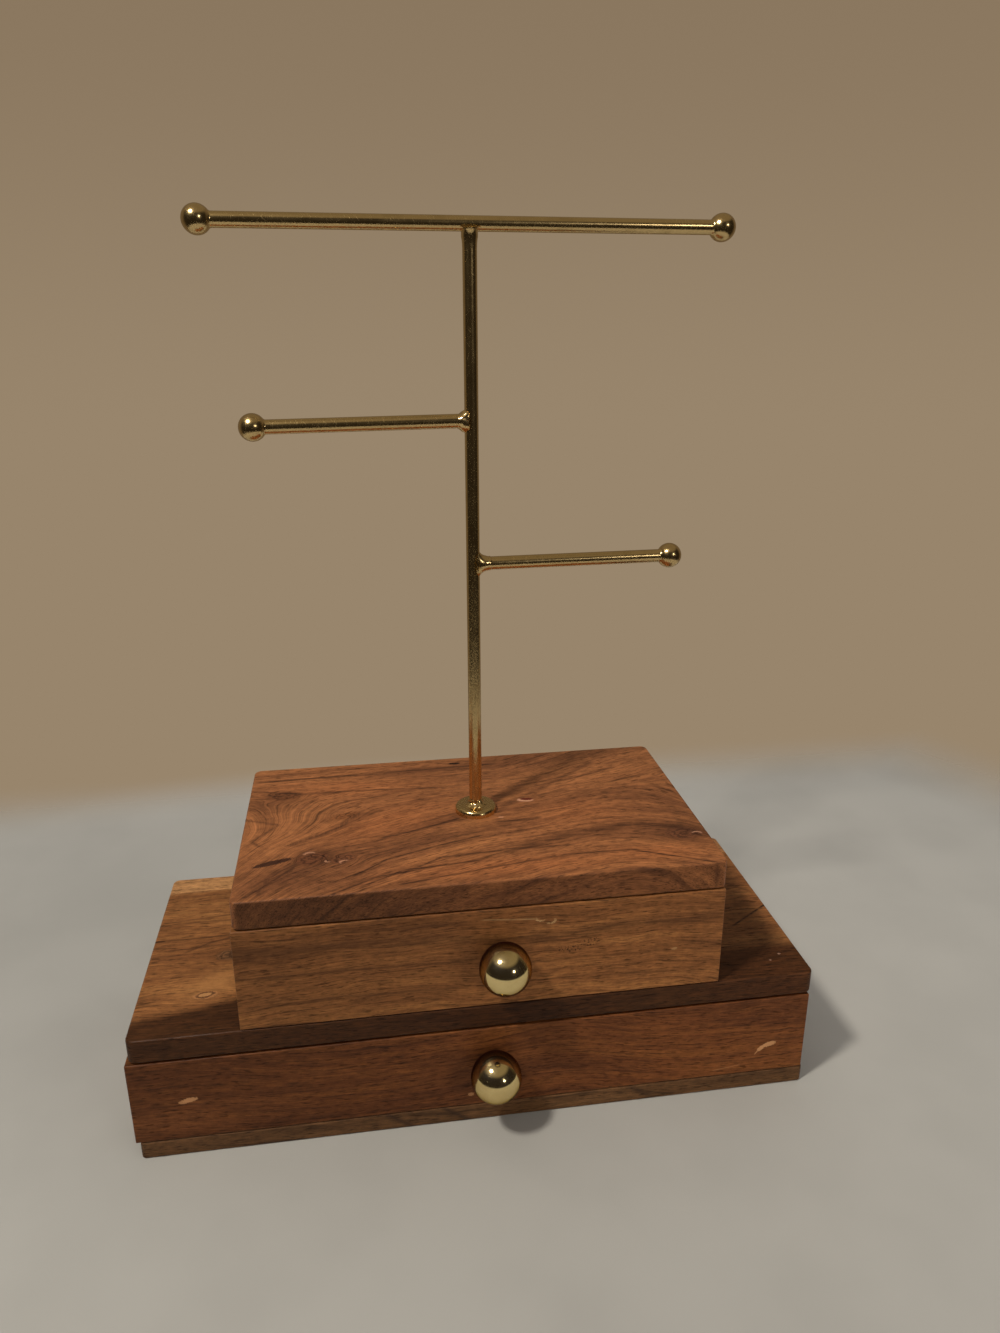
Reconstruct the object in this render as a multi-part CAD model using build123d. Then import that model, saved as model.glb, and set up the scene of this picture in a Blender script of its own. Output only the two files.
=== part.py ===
from build123d import *
from dataclasses import dataclass
import math
import os

# Two-tier wooden jewelry box, one drawer in each tier, with a brass stand screwed into its top.
# Millimetres. +X is to the right, +Y to the back and +Z up, as seen by someone facing the knobs.
# The origin is the centre of the base board's underside, on the surface that the box stands on.

# Boards of the case. The two tiers share one front plane. The base has the tighter corners.
lower_width = 300.0
lower_depth = 125.0
base_thickness = 8.5
lower_bay_height = 41.7
lower_top_thickness = 11.0
upper_width = 207.5
upper_depth = 123.0
upper_shift = 1.0
upper_bay_height = 48.5
upper_top_thickness = 12.8
board_corner = 3.5
base_corner = 2.0
board_edge = 0.9

# Walls between the boards: two sides, and a back panel let into a rabbet in each side.
wall_thickness = 9.0
wall_inset = 1.0
rabbet_depth = 4.0

# Drawer fronts, which cover the whole width of their tier and pass it a little at both ends.
front_thickness = 12.0
front_edge = 0.6
front_overhang = 0.25
lower_head_gap = 1.0
upper_head_gap = 0.7

# Drawer boxes behind the fronts.
drawer_wall = 6.0
drawer_head_room = 3.0
drawer_back_gap = 2.0
housing_depth = 4.0
bottom_thickness = 3.0
bottom_lift = 4.0
groove_depth = 3.0
lining_thickness = 1.2
lining_margin = 0.5

# Running clearances of the drawers. Both lie near the left of their bays, as they stay in use.
runner_gap = 0.3
closing_gap = 0.3
lower_left_play = 0.3
lower_right_play = 2.7
upper_left_play = 0.3
upper_right_play = 1.3

# Knobs: brass balls with a flat seat. Both are set a little to the right of the middle.
knob_radius = 11.0
knob_standoff = 9.9
knob_seat_edge = 0.4
lower_knob_shift = 3.8
lower_knob_height = 22.7
upper_knob_shift = 6.1
upper_knob_height = 25.2
knob_screw_radius = 2.0
knob_screw_grip = 8.0
knob_head_radius = 3.8
knob_head_height = 2.4
knob_hole_extra = 0.25

# Brass stand.
rod_radius = 2.9
ball_radius = 5.5
post_shift = 3.0
post_setback = 63.5
stand_turn = 3.0
top_bar_rise = 252.5
top_bar_tilt = 0.25
top_left_reach = 101.4
top_right_reach = 104.3
left_arm_rise = 178.6
left_arm_reach = 87.7
left_arm_droop = 0.65
right_arm_rise = 118.5
right_arm_reach = 89.5
right_arm_droop = 0.2
left_arm_weld = 1.4
right_arm_weld = 2.6
top_weld = 2.0
weld_overlap = 1.4
neck_fillet = 1.2
weld_toe = 0.1
socket_depth = 4.5

# Round foot of the post, its threaded end and the sleeve that this screws into.
flange_radius = 9.7
flange_thickness = 3.3
flange_rim = 2.0
flange_weld = 1.8
stud_radius = 2.5
stud_length = 9.0
stud_chamfer = 0.6
insert_radius = 4.0
insert_length = 10.5
insert_ridge = 0.5
insert_ridges = 6

# Screws, dowels and brads.
screw_radius = 1.75
screw_head_radius = 3.5
screw_length = 24.0
screw_tip = 3.5
screw_recess = 0.3
cross_width = 0.9
cross_span = 3.6
cross_depth = 1.3
dowel_radius = 2.5
dowel_length = 20.0
dowel_in_board = 7.0
dowel_chamfer = 0.5
joint_front_setback = 22.0
joint_back_setback = 30.0
brad_radius = 0.6
brad_head_radius = 1.1
brad_head_height = 0.7
brad_length = 15.0
brad_edge_distance = 8.0

# Clearances of what is fixed: round pieces in their holes, hole ends, panels in grooves, rods at welds.
hole_slack = 0.05
end_slack = 0.5
panel_slack = 0.1
rod_slack = 0.02

# Planes, widths and levels worked out from the sizes above.
front_y = -lower_depth / 2
lower_front_width = lower_width + 2 * front_overhang
upper_front_width = upper_width + 2 * front_overhang
lower_floor_z = base_thickness
lower_roof_z = lower_floor_z + lower_bay_height
upper_floor_z = lower_roof_z + lower_top_thickness
upper_roof_z = upper_floor_z + upper_bay_height
crown_z = upper_roof_z + upper_top_thickness
wall_front_y = front_y + front_thickness + closing_gap
post_x = upper_shift + post_shift
post_y = front_y + post_setback

UP = (Align.CENTER, Align.CENTER, Align.MIN)


@dataclass
class Bay:
    """The space between two walls that a drawer runs in, and the walls around it."""

    centre_x: float
    outer_width: float
    rear_y: float
    floor_z: float
    roof_z: float

    @property
    def inner_width(self):
        return self.outer_width - 2 * wall_thickness

    @property
    def back_y(self):
        return self.rear_y - wall_thickness

    def wall_x(self, side):
        """Middle of a side wall; side is -1 for left and 1 for right."""
        return self.centre_x + side * (self.outer_width - wall_thickness) / 2

    def joint_points(self):
        """Where dowels or screws enter the ends of the walls: two in each side, two in the back."""
        rows = (wall_front_y + joint_front_setback, self.rear_y - joint_back_setback)
        points = [(self.wall_x(side), y) for side in (-1, 1) for y in rows]
        rear = self.rear_y - wall_thickness / 2
        points += [(self.centre_x + side * self.inner_width / 4, rear) for side in (-1, 1)]
        return points


lower_bay = Bay(
    centre_x=0.0,
    outer_width=lower_width - 2 * wall_inset,
    rear_y=front_y + lower_depth - wall_inset,
    floor_z=lower_floor_z,
    roof_z=lower_roof_z,
)
upper_bay = Bay(
    centre_x=upper_shift,
    outer_width=upper_width - 2 * wall_inset,
    rear_y=front_y + upper_depth - wall_inset,
    floor_z=upper_floor_z,
    roof_z=upper_roof_z,
)


# Shapes that several pieces share.

def block(x0, x1, y0, y1, z0, z1):
    """A square-edged block between two corners."""
    corner = (Align.MIN, Align.MIN, Align.MIN)
    return Pos(x0, y0, z0) * Box(x1 - x0, y1 - y0, z1 - z0, align=corner)


def board(width, depth, thickness, centre_x, centre_y, z, corner=board_corner):
    """A flat board with rounded corners and softened edges; z is its underside."""
    slab = Box(width, depth, thickness, align=UP)
    slab = fillet(slab.edges().filter_by(Axis.Z), corner)
    slab = fillet(slab.faces().filter_by(Axis.Z).edges(), board_edge)
    return Pos(centre_x, centre_y, z) * slab


def upright_rod(radius, length, x, y, z):
    """A cylinder that stands on z."""
    return Pos(x, y, z) * Cylinder(radius, length, align=UP)


def lying_rod(radius, length, x, y, z, heading):
    """A cylinder that starts at a point and runs along heading."""
    return Plane(origin=(x, y, z), z_dir=heading) * Cylinder(radius, length, align=UP)


def hollow_arc(wide, tip):
    """A quarter circle between two (radius, height) points, curved in towards the corner below the tip."""
    share = 1 - math.sqrt(0.5)
    middle = (tip[0] + share * (wide[0] - tip[0]), wide[1] + share * (tip[1] - wide[1]))
    return ThreePointArc(wide, middle, tip)


def welded_rod(length, weld):
    """A rod up +Z whose foot, at z = 0, widens into a weld bead that is later coped to another rod."""
    wide = (rod_radius + weld, 0)
    tip = (rod_radius, weld)
    end = (rod_radius, length)
    outline = [
        Line((0, 0), wide),
        hollow_arc(wide, tip),
        Line(tip, end),
        Line(end, (0, length)),
        Line((0, length), (0, 0)),
    ]
    return revolve(Plane.XZ * make_face(outline), Axis.Z)


def cross_recess():
    """The cross that a screwdriver enters, cut upwards from z = 0."""
    bar = Box(cross_span, cross_width, cross_depth, align=UP)
    return bar + Rot(0, 0, 90) * bar


def dowel(x, y, z):
    """An upright dowel whose lower end is at z, with chamfered ends."""
    pin = Cylinder(dowel_radius, dowel_length, align=UP)
    pin = chamfer(pin.edges().filter_by(GeomType.CIRCLE), dowel_chamfer)
    return Pos(x, y, z) * pin


def dowel_hole(x, y, z):
    """The hole for dowel(x, y, z), with room past both ends."""
    length = dowel_length + 2 * end_slack
    return upright_rod(dowel_radius + hole_slack, length, x, y, z - end_slack)


# Case.

def top_joint_dowels(bay):
    """Lower ends of the dowels between a bay's walls and the board above."""
    z = bay.roof_z + dowel_in_board - dowel_length
    return [(x, y, z) for x, y in bay.joint_points()]


def bottom_joint_dowels(bay):
    """Lower ends of the dowels between a bay's walls and the board below."""
    z = bay.floor_z - dowel_in_board
    return [(x, y, z) for x, y in bay.joint_points()]


lower_top_places = top_joint_dowels(lower_bay)
upper_base_places = bottom_joint_dowels(upper_bay)
upper_top_places = top_joint_dowels(upper_bay)


def wood_screw():
    """A countersunk screw that points up, with the face of its head at z = 0."""
    head_height = screw_head_radius - screw_radius
    shank_length = screw_length - head_height - screw_tip
    head = Cone(screw_head_radius, screw_radius, head_height, align=UP)
    shank = Pos(0, 0, head_height) * Cylinder(screw_radius, shank_length, align=UP)
    tip = Pos(0, 0, screw_length - screw_tip) * Cone(screw_radius, 0, screw_tip, align=UP)
    return head + shank + tip - cross_recess()


def wood_screw_hole():
    """The countersunk hole for wood_screw, open below z = 0."""
    head_height = screw_head_radius - screw_radius
    wide = screw_head_radius + hole_slack
    narrow = screw_radius + hole_slack
    mouth = Pos(0, 0, -screw_recess) * Cylinder(wide, screw_recess, align=UP)
    sink = Cone(wide, narrow, head_height, align=UP)
    shank = Cylinder(narrow, screw_length + end_slack, align=UP)
    return mouth + sink + shank


def base_screw_places():
    """Screws through the base board into the lower walls, heads just under its surface."""
    return [Pos(x, y, screw_recess) for x, y in lower_bay.joint_points()]


def make_base_board():
    centre_y = front_y + lower_depth / 2
    plank = board(lower_width, lower_depth, base_thickness, 0, centre_y, 0, base_corner)
    for place in base_screw_places():
        plank -= place * wood_screw_hole()
    return plank


def make_lower_top_board():
    centre_y = front_y + lower_depth / 2
    plank = board(lower_width, lower_depth, lower_top_thickness, 0, centre_y, lower_roof_z)
    for place in lower_top_places + upper_base_places:
        plank -= dowel_hole(*place)
    return plank


def make_upper_top_board():
    centre_y = front_y + upper_depth / 2
    plank = board(upper_width, upper_depth, upper_top_thickness, upper_shift, centre_y, upper_roof_z)
    for place in upper_top_places:
        plank -= dowel_hole(*place)
    depth = insert_length + end_slack
    plank -= upright_rod(insert_radius + hole_slack, depth, post_x, post_y, crown_z - depth)
    return plank


def make_side(bay, side):
    """A side wall with the rabbet for the back panel; side is -1 for left and 1 for right."""
    x = bay.wall_x(side)
    half = wall_thickness / 2
    panel = block(x - half, x + half, wall_front_y, bay.rear_y, bay.floor_z, bay.roof_z)
    inner_x = x - side * half
    rabbet_x = inner_x + side * rabbet_depth
    left, right = sorted((inner_x, rabbet_x))
    return panel - block(left, right, bay.back_y, bay.rear_y, bay.floor_z, bay.roof_z)


def make_back_panel(bay):
    reach = bay.inner_width / 2 + rabbet_depth
    left = bay.centre_x - reach
    right = bay.centre_x + reach
    return block(left, right, bay.back_y, bay.rear_y, bay.floor_z, bay.roof_z)


def bore_walls(walls, holes):
    """The same walls with the dowel and screw holes in their ends."""
    bored = []
    for wall in walls:
        for hole in holes:
            wall -= hole
        bored.append(wall)
    return bored


def make_lower_walls():
    walls = [make_side(lower_bay, -1), make_side(lower_bay, 1), make_back_panel(lower_bay)]
    holes = [place * wood_screw_hole() for place in base_screw_places()]
    holes += [dowel_hole(*place) for place in lower_top_places]
    return bore_walls(walls, holes)


def make_upper_walls():
    walls = [make_side(upper_bay, -1), make_side(upper_bay, 1), make_back_panel(upper_bay)]
    holes = [dowel_hole(*place) for place in upper_base_places + upper_top_places]
    return bore_walls(walls, holes)


# Brass stand.

def make_threaded_insert():
    """A sleeve with a ridged outside that grips the wood and a bore that takes the post's stud."""
    pitch = insert_length / insert_ridges
    root = insert_radius - insert_ridge
    bore = stud_radius + hole_slack
    outline = [(bore, 0), (root, 0)]
    for ridge in range(insert_ridges):
        outline.append((insert_radius, (ridge + 0.5) * pitch))
        outline.append((root, (ridge + 1) * pitch))
    outline += [(bore, insert_length), (bore, 0)]
    sleeve = revolve(Plane.XZ * make_face(Polyline(*outline)), Axis.Z)
    return Pos(post_x, post_y, crown_z - insert_length) * sleeve


def make_post_flange():
    """The round foot, with a rounded rim and a small weld bead where the post passes through it."""
    bore = rod_radius + rod_slack
    top = flange_thickness
    rim_low = (flange_radius, top - flange_rim)
    rim_middle = (
        flange_radius - flange_rim * (1 - math.sqrt(0.5)),
        top - flange_rim * (1 - math.sqrt(0.5)),
    )
    rim_top = (flange_radius - flange_rim, top)
    bead_wide = (bore + weld_toe + flange_weld, top)
    bead_tip = (bore + weld_toe, top + flange_weld)
    outline = [
        Line((bore, 0), (flange_radius, 0)),
        Line((flange_radius, 0), rim_low),
        ThreePointArc(rim_low, rim_middle, rim_top),
        Line(rim_top, bead_wide),
        hollow_arc(bead_wide, bead_tip),
        Line(bead_tip, (bore, bead_tip[1])),
        Line((bore, bead_tip[1]), (bore, 0)),
    ]
    flange = revolve(Plane.XZ * make_face(outline), Axis.Z)
    return Pos(post_x, post_y, crown_z) * flange


def make_post():
    """The upright: a threaded end below, a rod, and a weld bead under the top bar, coped to fit it."""
    length = top_bar_rise - weld_overlap
    rod = Pos(0, 0, length) * Rot(180, 0, 0) * welded_rod(length, top_weld)
    stud = Pos(0, 0, -stud_length) * Cylinder(stud_radius, stud_length, align=UP)
    stud = chamfer(stud.edges().filter_by(GeomType.CIRCLE).sort_by(Axis.Z)[0], stud_chamfer)
    post = Pos(post_x, post_y, crown_z) * (rod + stud)
    return post - bar_cutter()


def bar_frame():
    """The top bar's middle, its left end a little low: local X runs along the bar."""
    middle = Pos(post_x, post_y, crown_z + top_bar_rise)
    return middle * Rot(0, 0, stand_turn) * Rot(0, -top_bar_tilt, 0)


def bar_cutter():
    """The room that the top bar needs in the post."""
    reach = ball_radius + rod_radius
    bar = lying_rod(rod_radius + rod_slack, 2 * reach, -reach, 0, 0, (1, 0, 0))
    return bar_frame() * bar


def make_top_bar():
    left = top_left_reach - ball_radius + socket_depth - rod_slack
    right = top_right_reach - ball_radius + socket_depth - rod_slack
    return bar_frame() * lying_rod(rod_radius, left + right, -left, 0, 0, (1, 0, 0))


def ball():
    """A ball at the origin with a socket and a concave neck for a rod that comes from -X."""
    neck_radius = rod_radius + neck_fillet
    neck_x = math.sqrt((ball_radius + neck_fillet) ** 2 - neck_radius**2)
    share = ball_radius / (ball_radius + neck_fillet)
    on_rod = (neck_x, rod_radius)
    on_ball = (neck_x * share, neck_radius * share)
    lean = (math.atan2(neck_radius, neck_x) + math.pi / 2) / 2
    middle = (neck_x - neck_fillet * math.cos(lean), neck_radius - neck_fillet * math.sin(lean))
    inside = (on_ball[0] - neck_fillet / 2, rod_radius)
    outline = [
        Line(inside, on_rod),
        ThreePointArc(on_rod, middle, on_ball),
        Line(on_ball, inside),
    ]
    neck = Rot(0, 0, 180) * revolve(make_face(outline), Axis.X)
    mouth_x = -(neck_x + neck_fillet)
    socket_end = socket_depth - ball_radius
    bore = lying_rod(rod_radius + rod_slack, socket_end - mouth_x, mouth_x, 0, 0, (1, 0, 0))
    return Sphere(ball_radius) + neck - bore


def arm_frame(rise, side, droop):
    """An arm's root on the post's axis: local X runs along the arm, which droops a little."""
    heading = stand_turn if side > 0 else stand_turn + 180
    return Pos(post_x, post_y, crown_z + rise) * Rot(0, 0, heading) * Rot(0, droop, 0)


def make_arm(rise, side, droop, reach, weld):
    """A rod welded to the side of the post, with its bead, coped to fit the post."""
    length = reach - ball_radius + socket_depth - rod_slack - weld_overlap
    rod = Pos(weld_overlap, 0, 0) * Rot(0, 90, 0) * welded_rod(length, weld)
    post = Cylinder(rod_radius + rod_slack, 2 * (ball_radius + rod_radius))
    arm = arm_frame(rise, side, droop) * rod
    return arm - Pos(post_x, post_y, crown_z + rise) * post


def make_arm_ball(rise, side, droop, reach):
    return arm_frame(rise, side, droop) * Pos(reach, 0, 0) * ball()


def make_top_ball(side):
    if side > 0:
        return bar_frame() * Pos(top_right_reach, 0, 0) * ball()
    return bar_frame() * Pos(-top_left_reach, 0, 0) * Rot(0, 0, 180) * ball()


# Drawers.

@dataclass
class Drawer:
    """One drawer at rest in its bay."""

    bay: Bay
    front_width: float
    head_gap: float
    left_play: float
    right_play: float
    knob_shift: float
    knob_height: float

    @property
    def centre_x(self):
        return self.bay.centre_x + (self.left_play - self.right_play) / 2

    @property
    def outer_half(self):
        return (self.bay.inner_width - self.left_play - self.right_play) / 2

    @property
    def inner_half(self):
        return self.outer_half - drawer_wall

    @property
    def sole_z(self):
        return self.bay.floor_z + runner_gap

    @property
    def rim_z(self):
        return self.bay.roof_z - drawer_head_room

    @property
    def box_front_y(self):
        return front_y + front_thickness

    @property
    def box_back_y(self):
        return self.bay.back_y - drawer_back_gap

    @property
    def bottom_z(self):
        return self.sole_z + bottom_lift

    @property
    def floor_z(self):
        return self.bottom_z + bottom_thickness

    @property
    def knob_x(self):
        return self.centre_x + self.knob_shift

    @property
    def knob_z(self):
        return self.sole_z + self.knob_height

    def wall_span(self, side):
        """Left and right faces of a side of the box; side is -1 or 1."""
        edges = (self.centre_x + side * self.outer_half, self.centre_x + side * self.inner_half)
        return sorted(edges)


lower_drawer = Drawer(
    bay=lower_bay,
    front_width=lower_front_width,
    head_gap=lower_head_gap,
    left_play=lower_left_play,
    right_play=lower_right_play,
    knob_shift=lower_knob_shift,
    knob_height=lower_knob_height,
)
upper_drawer = Drawer(
    bay=upper_bay,
    front_width=upper_front_width,
    head_gap=upper_head_gap,
    left_play=upper_left_play,
    right_play=upper_right_play,
    knob_shift=upper_knob_shift,
    knob_height=upper_knob_height,
)


def bottom_groove(drawer):
    """The groove that holds the bottom panel in the front and in both sides."""
    reach = drawer.inner_half + groove_depth
    left = drawer.centre_x - reach
    right = drawer.centre_x + reach
    front = drawer.box_front_y - groove_depth
    return block(left, right, front, drawer.box_back_y, drawer.bottom_z, drawer.floor_z)


def make_drawer_front(drawer):
    """The front, with a housing for each side, the bottom's groove and the knob's screw hole."""
    half = drawer.front_width / 2
    left = drawer.centre_x - half
    right = drawer.centre_x + half
    top = drawer.bay.roof_z - drawer.head_gap
    panel = block(left, right, front_y, drawer.box_front_y, drawer.sole_z, top)
    panel = fillet(panel.edges(), front_edge)
    housing_y = drawer.box_front_y - housing_depth
    for side in (-1, 1):
        x0, x1 = drawer.wall_span(side)
        panel -= block(x0, x1, housing_y, drawer.box_front_y, drawer.sole_z, drawer.rim_z)
    panel -= bottom_groove(drawer)
    hole_radius = knob_screw_radius + knob_hole_extra
    start = (drawer.knob_x, front_y, drawer.knob_z)
    return panel - lying_rod(hole_radius, front_thickness, *start, (0, 1, 0))


def make_drawer_side(drawer, side):
    x0, x1 = drawer.wall_span(side)
    front = drawer.box_front_y - housing_depth
    panel = block(x0, x1, front, drawer.box_back_y, drawer.sole_z, drawer.rim_z)
    panel -= bottom_groove(drawer)
    for place in side_brads(drawer, side):
        panel -= place * brad_hole()
    return panel


def make_drawer_back(drawer):
    left = drawer.centre_x - drawer.inner_half
    right = drawer.centre_x + drawer.inner_half
    front = drawer.box_back_y - drawer_wall
    panel = block(left, right, front, drawer.box_back_y, drawer.floor_z, drawer.rim_z)
    for place in all_brads(drawer):
        panel -= place * brad_hole()
    return panel


def make_drawer_bottom(drawer):
    """The thin bottom, slid into the grooves under the back."""
    reach = drawer.inner_half + groove_depth - panel_slack
    left = drawer.centre_x - reach
    right = drawer.centre_x + reach
    front = drawer.box_front_y - groove_depth + panel_slack
    panel = block(left, right, front, drawer.box_back_y, drawer.bottom_z, drawer.floor_z)
    for place in bottom_brads(drawer):
        panel -= place * brad_hole()
    return panel


def make_drawer_lining(drawer):
    """The felt sheet on the drawer's floor."""
    reach = drawer.inner_half - lining_margin
    left = drawer.centre_x - reach
    right = drawer.centre_x + reach
    front = drawer.box_front_y + lining_margin
    back = drawer.box_back_y - drawer_wall - lining_margin
    return block(left, right, front, back, drawer.floor_z, drawer.floor_z + lining_thickness)


def brad():
    """A brad that points along +X, with the face of its head at x = 0."""
    head = lying_rod(brad_head_radius, brad_head_height, 0, 0, 0, (1, 0, 0))
    shank = lying_rod(brad_radius, brad_length, 0, 0, 0, (1, 0, 0))
    return head + shank


def brad_hole():
    head = lying_rod(brad_head_radius + hole_slack, brad_head_height, 0, 0, 0, (1, 0, 0))
    shank = lying_rod(brad_radius + hole_slack, brad_length + end_slack, 0, 0, 0, (1, 0, 0))
    return head + shank


def side_brads(drawer, side):
    """Two brads through a side into the end of the back."""
    x = drawer.centre_x + side * drawer.outer_half
    y = drawer.box_back_y - drawer_wall / 2
    heights = (drawer.floor_z + brad_edge_distance, drawer.rim_z - brad_edge_distance)
    turn = Rot(0, 0, 180) if side > 0 else Rot(0, 0, 0)
    return [Pos(x, y, z) * turn for z in heights]


def bottom_brads(drawer):
    """Three brads up through the bottom into the back."""
    y = drawer.box_back_y - drawer_wall / 2
    spread = drawer.inner_half - 2 * brad_edge_distance
    points = (drawer.centre_x - spread, drawer.centre_x, drawer.centre_x + spread)
    return [Pos(x, y, drawer.bottom_z) * Rot(0, -90, 0) for x in points]


def all_brads(drawer):
    return side_brads(drawer, -1) + side_brads(drawer, 1) + bottom_brads(drawer)


def make_knob(drawer):
    """A ball cut flat where it meets the front, with a tapped hole for its screw."""
    seat = block(-knob_radius, knob_radius, 0, 2 * knob_radius, -knob_radius, knob_radius)
    knob = Pos(0, -knob_standoff, 0) * Sphere(knob_radius) - seat
    knob = fillet(knob.edges().filter_by(GeomType.CIRCLE).sort_by(Axis.Y)[-1], knob_seat_edge)
    depth = knob_screw_grip + end_slack
    knob -= lying_rod(knob_screw_radius + hole_slack, depth, 0, -depth, 0, (0, 1, 0))
    return Pos(drawer.knob_x, front_y, drawer.knob_z) * knob


def make_knob_screw(drawer):
    """A round-headed screw from inside the drawer, through the front and into the knob."""
    head = lying_rod(knob_head_radius, knob_head_height, 0, 0, 0, (0, 1, 0))
    head = fillet(head.edges().filter_by(GeomType.CIRCLE).sort_by(Axis.Y)[-1], knob_head_height / 2)
    length = front_thickness + knob_screw_grip
    shank = lying_rod(knob_screw_radius, length, 0, -length, 0, (0, 1, 0))
    recess = Pos(0, knob_head_height, 0) * Rot(90, 0, 0) * cross_recess()
    return Pos(drawer.knob_x, drawer.box_front_y, drawer.knob_z) * (head + shank - recess)


def make_drawer(name, drawer):
    """Every piece of one drawer, by node name."""
    return {
        f"{name}_front": [make_drawer_front(drawer)],
        f"{name}_left_side": [make_drawer_side(drawer, -1)],
        f"{name}_right_side": [make_drawer_side(drawer, 1)],
        f"{name}_back": [make_drawer_back(drawer)],
        f"{name}_bottom": [make_drawer_bottom(drawer)],
        f"{name}_lining": [make_drawer_lining(drawer)],
        f"{name}_knob": [make_knob(drawer)],
        f"{name}_knob_screw": [make_knob_screw(drawer)],
        f"{name}_pins": [place * brad() for place in all_brads(drawer)],
    }


def make_case():
    lower_left, lower_right, lower_back = make_lower_walls()
    upper_left, upper_right, upper_back = make_upper_walls()
    return {
        "base_board": [make_base_board()],
        "lower_left_side": [lower_left],
        "lower_right_side": [lower_right],
        "lower_back_panel": [lower_back],
        "lower_top_board": [make_lower_top_board()],
        "upper_left_side": [upper_left],
        "upper_right_side": [upper_right],
        "upper_back_panel": [upper_back],
        "upper_top_board": [make_upper_top_board()],
        "base_screws": [place * wood_screw() for place in base_screw_places()],
        "lower_top_dowels": [dowel(*place) for place in lower_top_places],
        "upper_base_dowels": [dowel(*place) for place in upper_base_places],
        "upper_top_dowels": [dowel(*place) for place in upper_top_places],
    }


def make_stand():
    left_arm = (left_arm_rise, -1, left_arm_droop, left_arm_reach)
    right_arm = (right_arm_rise, 1, right_arm_droop, right_arm_reach)
    return {
        "threaded_insert": [make_threaded_insert()],
        "post": [make_post()],
        "post_flange": [make_post_flange()],
        "top_bar": [make_top_bar()],
        "left_arm": [make_arm(*left_arm, left_arm_weld)],
        "right_arm": [make_arm(*right_arm, right_arm_weld)],
        "top_left_ball": [make_top_ball(-1)],
        "top_right_ball": [make_top_ball(1)],
        "left_arm_ball": [make_arm_ball(*left_arm)],
        "right_arm_ball": [make_arm_ball(*right_arm)],
    }


def write_node(name, shapes):
    """One STEP file, holding every solid of the node."""
    solids = [solid for shape in shapes for solid in shape.solids()]
    whole = solids[0] if len(solids) == 1 else Compound(solids)
    export_step(whole, f"parts/{name}.step")


os.makedirs("parts", exist_ok=True)
nodes = make_case()
nodes.update(make_stand())
nodes.update(make_drawer("lower_drawer", lower_drawer))
nodes.update(make_drawer("upper_drawer", upper_drawer))
for node_name, node_shapes in nodes.items():
    write_node(node_name, node_shapes)
print(len(nodes), "nodes written")
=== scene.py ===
# %% [markdown]
# # A jewelry stand with two drawers
# The model comes in as a fixed frame: every board, rod, ball and screw at its real size, each in
# its own mesh. Blender adds what such a model can't hold, which is the look of each surface.

# %% Load the frame
import math
from collections import namedtuple
from functools import reduce

import bmesh
import bpy
from mathutils import Matrix, Vector, noise


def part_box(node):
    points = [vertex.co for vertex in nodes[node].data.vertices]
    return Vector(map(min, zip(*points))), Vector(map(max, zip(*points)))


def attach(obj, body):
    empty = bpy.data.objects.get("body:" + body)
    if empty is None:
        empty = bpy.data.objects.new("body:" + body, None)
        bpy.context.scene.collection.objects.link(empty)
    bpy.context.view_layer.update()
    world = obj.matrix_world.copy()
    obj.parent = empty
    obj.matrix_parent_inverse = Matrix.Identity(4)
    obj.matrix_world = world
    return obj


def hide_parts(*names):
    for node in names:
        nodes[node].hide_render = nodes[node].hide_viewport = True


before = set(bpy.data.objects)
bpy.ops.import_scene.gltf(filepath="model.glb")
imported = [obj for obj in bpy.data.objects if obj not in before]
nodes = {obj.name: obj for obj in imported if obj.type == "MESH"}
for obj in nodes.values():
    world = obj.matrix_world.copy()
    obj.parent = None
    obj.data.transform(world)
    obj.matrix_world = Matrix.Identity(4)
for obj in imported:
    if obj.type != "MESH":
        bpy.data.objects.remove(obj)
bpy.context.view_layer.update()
MM = 0.001

# %% [markdown]
# ## The camera
# The photograph looks down on the box from the left of its middle. The place and the angles were
# worked out from where the corners of the boards lie in the picture. Lens and sensor are numbers
# for a picture that is taller than wide, where the sensor's width counts for the tall side.

# %% Camera
camera_place = Vector((-45.72, -399.76, 334.53)) * MM
camera_turn = math.radians(-8.714)
camera_dip = math.radians(19.189)
camera_roll = math.radians(-0.088)
picture_height = 1333
focal_pixels = 954.0

lens_data = bpy.data.cameras.new("camera")
lens_data.sensor_width = 36
lens_data.lens = focal_pixels / picture_height * lens_data.sensor_width
lens_data.clip_start = 0.01
camera = bpy.data.objects.new("camera", lens_data)
camera.matrix_world = (
    Matrix.Translation(camera_place)
    @ Matrix.Rotation(camera_turn, 4, "Z")
    @ Matrix.Rotation(math.pi / 2 - camera_dip, 4, "X")
    @ Matrix.Rotation(camera_roll, 4, "Z")
)
bpy.context.scene.collection.objects.link(camera)
bpy.context.scene.camera = camera
bpy.context.scene.view_settings.view_transform = "Standard"
print("lens", round(lens_data.lens, 2), "mm")

# %% [markdown]
# ## Writing materials as sums
# A procedural material is a lot of small arithmetic. Wiring each Math node by hand hides the
# idea, so one small class wraps a socket and turns Python's own operators into Math nodes. A
# second class holds one material's node tree and has a single method for every other kind of
# node.

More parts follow.
